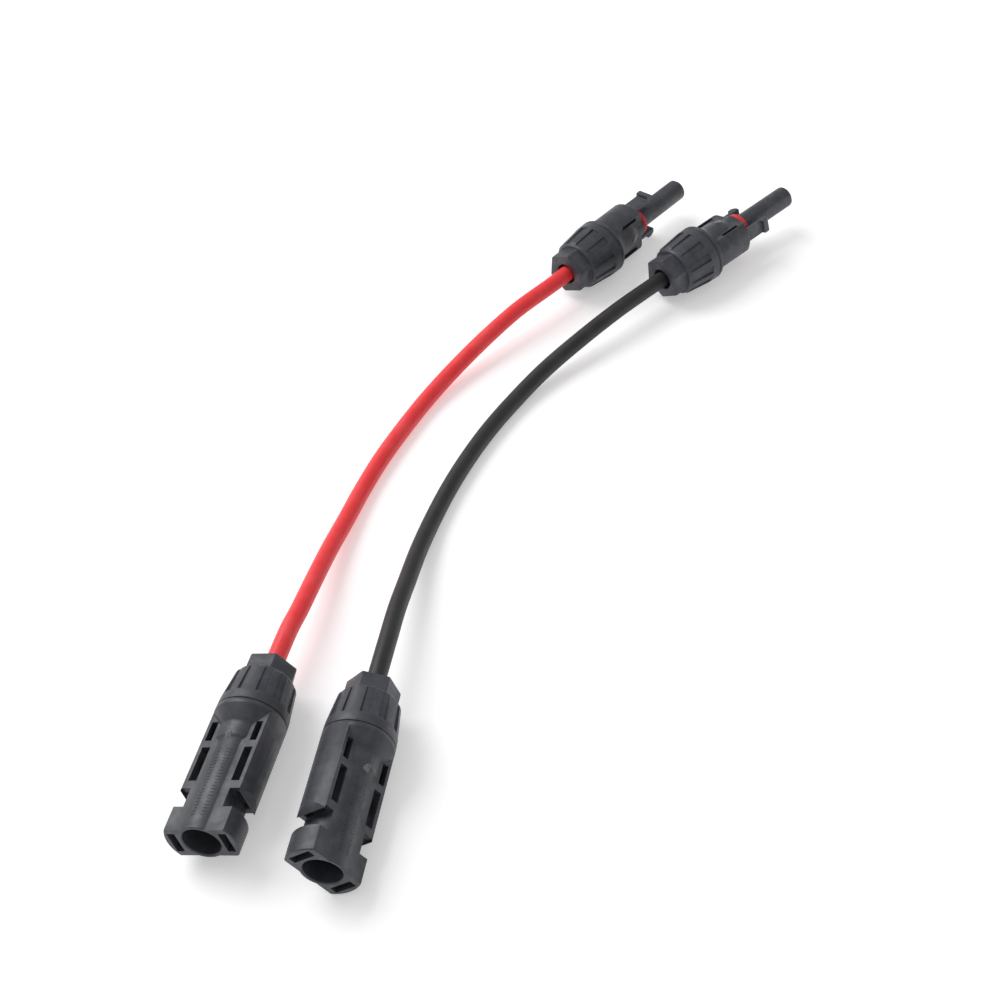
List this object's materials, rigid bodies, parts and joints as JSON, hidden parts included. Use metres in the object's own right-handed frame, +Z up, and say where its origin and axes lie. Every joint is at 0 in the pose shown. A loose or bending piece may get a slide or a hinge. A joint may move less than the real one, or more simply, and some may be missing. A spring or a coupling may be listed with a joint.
{
  "type": "pair of solar extension leads",
  "caption": "Matched red and black solar leads, each with a pin receptacle on one end and a latching socket plug with a sealing ring on the other.",
  "frame": {"origin": "centre of the footprint of the four couplers, on the surface that the leads lie on", "axes": "+Z up; +Y from the receptacles towards the plugs; +X to the right of that, from the red lead to the black one"},
  "size_m": [0.1913, 0.2695, 0.0196],
  "materials": {
    "housing": "fine moulded texture, black engineering plastic",
    "gland_nut": "fine moulded texture, black engineering plastic",
    "clamp_cage": "natural nylon",
    "cable_seal": "black silicone rubber",
    "sealing_ring": "red silicone rubber",
    "contact": "tin plated copper",
    "spring": "stainless spring steel",
    "conductor": "tinned stranded copper",
    "red_jacket": "satin cross-linked jacket",
    "black_jacket": "satin cross-linked jacket"
  },
  "bodies": {
    "red_lead": {"red_receptacle_housing": "housing", "red_pin_contact": "contact", "red_pin_clip": "spring", "red_receptacle_cable_seal": "cable_seal", "red_plug_housing": "housing", "red_sealing_ring": "sealing_ring", "red_socket_contact": "contact", "red_contact_spring": "spring", "red_socket_clip": "spring", "red_plug_cable_seal": "cable_seal", "red_cable_jacket": "red_jacket", "red_cable_conductor": "conductor"},
    "red_receptacle_cage": {"red_receptacle_clamp_cage": "clamp_cage"},
    "red_receptacle_nut": {"red_receptacle_gland_nut": "gland_nut"},
    "red_plug_cage": {"red_plug_clamp_cage": "clamp_cage"},
    "red_plug_nut": {"red_plug_gland_nut": "gland_nut"},
    "red_latch_left": {"red_latch_arm_left": "housing"},
    "red_latch_right": {"red_latch_arm_right": "housing"},
    "black_lead": {"black_receptacle_housing": "housing", "black_pin_contact": "contact", "black_pin_clip": "spring", "black_receptacle_cable_seal": "cable_seal", "black_plug_housing": "housing", "black_sealing_ring": "sealing_ring", "black_socket_contact": "contact", "black_contact_spring": "spring", "black_socket_clip": "spring", "black_plug_cable_seal": "cable_seal", "black_cable_jacket": "black_jacket", "black_cable_conductor": "conductor"},
    "black_receptacle_cage": {"black_receptacle_clamp_cage": "clamp_cage"},
    "black_receptacle_nut": {"black_receptacle_gland_nut": "gland_nut"},
    "black_plug_cage": {"black_plug_clamp_cage": "clamp_cage"},
    "black_plug_nut": {"black_plug_gland_nut": "gland_nut"},
    "black_latch_left": {"black_latch_arm_left": "housing"},
    "black_latch_right": {"black_latch_arm_right": "housing"}
  },
  "joints": [
    {"name": "red_receptacle_cage_slide", "type": "slide", "parent": "red_lead", "child": "red_receptacle_cage", "axis": [0.2638, 0.9645, -0.014], "range_m": [0, 0.0045]},
    {"name": "red_receptacle_nut_turn", "type": "hinge", "parent": "red_receptacle_cage", "child": "red_receptacle_nut", "pos_m": [-0.0766, -0.0864, 0.0095], "axis": [0.2638, 0.9645, -0.014], "range_deg": [0, 1080]},
    {"name": "red_plug_cage_slide", "type": "slide", "parent": "red_lead", "child": "red_plug_cage", "axis": [-0.6934, -0.7206, 0], "range_m": [0, 0.0045]},
    {"name": "red_plug_nut_turn", "type": "hinge", "parent": "red_plug_cage", "child": "red_plug_nut", "pos_m": [0.0293, 0.1022, 0.0095], "axis": [-0.6934, -0.7206, 0], "range_deg": [0, 1080]},
    {"name": "red_latch_left_flex", "type": "hinge", "parent": "red_lead", "child": "red_latch_left", "pos_m": [0.03502, 0.10863, 0.01589], "axis": [-0.7196, 0.6925, -0.0523], "range_deg": [0, 4], "stiffness_Nm_per_rad": 0.5},
    {"name": "red_latch_right_flex", "type": "hinge", "parent": "red_lead", "child": "red_latch_right", "pos_m": [0.03551, 0.10816, 0.00311], "axis": [0.7196, -0.6925, 0.0523], "range_deg": [0, 4], "stiffness_Nm_per_rad": 0.5},
    {"name": "black_receptacle_cage_slide", "type": "slide", "parent": "black_lead", "child": "black_receptacle_cage", "axis": [0.2198, 0.9754, 0.0175], "range_m": [0, 0.0045]},
    {"name": "black_receptacle_nut_turn", "type": "hinge", "parent": "black_receptacle_cage", "child": "black_receptacle_nut", "pos_m": [-0.0491, -0.0963, 0.0101], "axis": [0.2198, 0.9754, 0.0175], "range_deg": [0, 1080]},
    {"name": "black_plug_cage_slide", "type": "slide", "parent": "black_lead", "child": "black_plug_cage", "axis": [-0.77, -0.637, -0.0349], "range_m": [0, 0.0045]},
    {"name": "black_plug_nut_turn", "type": "hinge", "parent": "black_plug_cage", "child": "black_plug_nut", "pos_m": [0.0613, 0.0951, 0.0095], "axis": [-0.77, -0.637, -0.0349], "range_deg": [0, 1080]},
    {"name": "black_latch_left_flex", "type": "hinge", "parent": "black_lead", "child": "black_latch_left", "pos_m": [0.07184, 0.09576, 0.01135], "axis": [-0.1803, 0.1648, 0.9697], "range_deg": [0, 4], "stiffness_Nm_per_rad": 0.5},
    {"name": "black_latch_right_flex", "type": "hinge", "parent": "black_lead", "child": "black_latch_right", "pos_m": [0.06401, 0.1054, 0.00825], "axis": [0.1803, -0.1648, -0.9697], "range_deg": [0, 4], "stiffness_Nm_per_rad": 0.5},
    {"name": "black_lead_lift", "type": "slide", "parent": "red_lead", "child": "black_lead", "axis": [0, 0, 1], "range_m": [0, 0.06]}
  ],
  "couplings": [
    {"joint": "red_receptacle_nut_turn", "follows": "red_receptacle_cage_slide", "rad_per_m": 4188.8},
    {"joint": "red_plug_nut_turn", "follows": "red_plug_cage_slide", "rad_per_m": 4188.8},
    {"joint": "black_receptacle_nut_turn", "follows": "black_receptacle_cage_slide", "rad_per_m": 4188.8},
    {"joint": "black_plug_nut_turn", "follows": "black_plug_cage_slide", "rad_per_m": 4188.8}
  ]
}
